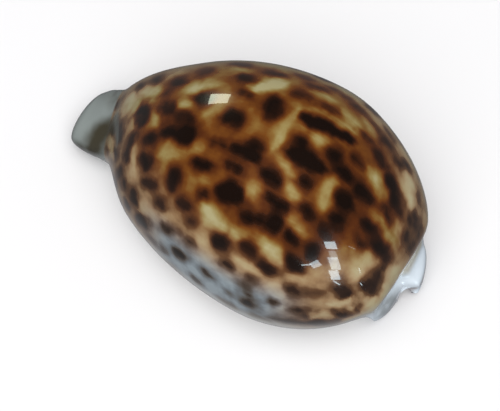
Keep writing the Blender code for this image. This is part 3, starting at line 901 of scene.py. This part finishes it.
studio = {
    "floorSize": 6.0,
    "floorColour": paint(232, 231, 231),
    "floorRoughness": 0.9,
    "floorGloss": 0.1,
    "ambient": (0.44, 0.445, 0.46, 1.0),
    "mirroredFloor": (0.30, 0.30, 0.31, 1.0),   # what the gloss sees besides the lamps: the floor
    "mirroredLow": (0.10, 0.10, 0.102, 1.0),    # the room low down
    "mirroredHigh": (0.03, 0.03, 0.031, 1.0),   # and overhead
    "floorToLow": (-0.97, -0.70),               # one turns into the next between these heights,
    "lowToHigh": (-0.2, 0.5),                   # -1 being straight down and 1 straight up
    "overheadPlace": (0.13, -0.33, 0.90),
    "overheadSize": 1.3,
    "overheadGlow": 2.45,
    "glintDistance": 0.16,
    "glintGlow": 11.0,
    "warmGlint": (0.92, 1.0, 0.78),
    "coolGlint": (0.74, 0.93, 1.0),
}

glints = [
    # the lamps that the gloss mirrors: name, place on the back's map (along, round), then how wide and
    # high it looks from there and its turn, in degrees, and its brightness
    ("backGlint", -7.6, 2.5, 11.0, 10.0, -42, 0.7),
    ("paneTop", 24.2, -11.2, 9.5, 5.0, -20, 1.0),
    ("paneSmear", 25.2, -12.6, 6.0, 6.0, -15, 0.35),
    ("barUpper", 26.0, -13.9, 8.5, 10.0, -15, 0.75),
    ("barLower", 26.7, -15.3, 8.0, 9.5, -10, 0.9),
    ("barTail", 27.3, -16.3, 7.5, 1.5, -55, 0.9),
    ("armWide", 23.4, -16.2, 9.0, 4.5, 20, 0.8),
    ("armThin", 22.0, -17.7, 8.5, 1.0, 10, 1.0),
    ("fleckHigh", 27.0, -8.7, 5.5, 0.4, -55, 0.5),
    ("fleckMiddle", 29.3, -10.6, 0.8, 5.0, -10, 1.0),
    ("fleckLow", 30.4, -12.2, 0.8, 3.5, 20, 1.0),
]

cameraView = {
    "azimuth": 29.9,
    "elevation": 64.0,
    "distance": 0.35,
    "target": (0.0047, -0.0067, 0.018),
    "lens": 127.6,
    "sensorWidth": 36.0,
    "clipStart": 0.01,
}


def direction(azimuth, elevation):
    a, e = math.radians(azimuth), math.radians(elevation)
    return Vector((math.sin(a) * math.cos(e), -math.cos(a) * math.cos(e), math.sin(e)))


def addFloor():
    half = studio["floorSize"] / 2
    mesh = bpy.data.meshes.new("floor")
    corners = [(-half, -half), (half, -half), (half, half), (-half, half)]
    mesh.from_pydata([(x, y, shellLow.z) for x, y in corners], [], [(0, 1, 2, 3)])
    floor = bpy.data.objects.new("floor", mesh)
    bpy.context.scene.collection.objects.link(floor)
    material = bpy.data.materials.new("paleFloor")
    material.use_nodes = True
    shader = material.node_tree.nodes["Principled BSDF"]
    shader.inputs["Base Color"].default_value = studio["floorColour"]
    shader.inputs["Roughness"].default_value = studio["floorRoughness"]
    shader.inputs["Specular IOR Level"].default_value = studio["floorGloss"]
    mesh.materials.append(material)
    floor.visible_glossy = False
    floor.visible_diffuse = False


def addPanel(name, place, target, width, height, glow, turn=0.0):
    # a rectangular lamp whose face has this brightness
    light = bpy.data.lights.new(name, "AREA")
    light.shape = "RECTANGLE"
    light.size = width
    light.size_y = height
    light.energy = glow * math.pi * width * height
    lamp = bpy.data.objects.new(name, light)
    lamp.location = place
    lamp.rotation_mode = "QUATERNION"
    facing = (Vector(place) - Vector(target)).to_track_quat("Z", "Y")
    lamp.rotation_quaternion = facing @ Quaternion((0, 0, 1), math.radians(turn))
    lamp.visible_camera = False
    bpy.context.scene.collection.objects.link(lamp)
    return lamp


def mirroredFrom(along, around):
    # a point of the back, by its place on the map, and the direction that it mirrors to the camera
    apart = np.hypot(alongMap - along, roundMap - around)
    apart = np.where(fields["hollowShare"] > 0, np.inf, apart)
    vertex = shell.data.vertices[int(np.argmin(apart))]
    view = (bpy.context.scene.camera.location - vertex.co).normalized()
    return vertex.co, 2 * vertex.normal.dot(view) * vertex.normal - view


def addLights():
    world = bpy.data.worlds.new("studio")
    world.use_nodes = True
    tree = world.node_tree
    start = Wire(tree, None)
    upward = start.node("ShaderNodeSeparateXYZ", {}, {0: start.node("ShaderNodeTexCoord")}, 2)
    mirrored = upward.eased(*studio["lowToHigh"]).mixed(studio["mirroredLow"], studio["mirroredHigh"])
    mirrored = upward.eased(*studio["floorToLow"]).mixed(studio["mirroredFloor"], mirrored)
    sky = start.node("ShaderNodeLightPath", output=3).mixed(studio["ambient"], mirrored)
    tree.links.new(sky.socket, tree.nodes["Background"].inputs["Color"])
    bpy.context.scene.world = world
    side, glow = studio["overheadSize"], studio["overheadGlow"]
    overhead = addPanel("overhead", studio["overheadPlace"], (0, 0, 0), side, side, glow)
    overhead.visible_glossy = False
    apart = studio["glintDistance"]
    for name, along, around, width, height, turn, share in glints:
        point, towards = mirroredFrom(along, around)
        place = point + towards * apart
        sides = [2 * apart * math.tan(math.radians(angle / 2)) for angle in (width, height)]
        lamp = addPanel(name, place, point, *sides, studio["glintGlow"] * share, turn)
        lamp.visible_diffuse = False
        lamp.data.color = studio["warmGlint"] if name == "backGlint" else studio["coolGlint"]


def addCamera():
    view = cameraView
    camera = bpy.data.objects.new("camera", bpy.data.cameras.new("camera"))
    bpy.context.scene.collection.objects.link(camera)
    back = direction(view["azimuth"], view["elevation"])
    camera.location = Vector(view["target"]) + back * view["distance"]
    camera.rotation_mode = "QUATERNION"
    camera.rotation_quaternion = back.to_track_quat("Z", "Y")
    camera.data.lens = view["lens"]
    camera.data.sensor_width = view["sensorWidth"]
    camera.data.clip_start = view["clipStart"]
    bpy.context.scene.camera = camera


addFloor()
addCamera()
addLights()
bpy.context.scene.view_settings.view_transform = "Standard"
print("studio: floor, lights and camera are set")
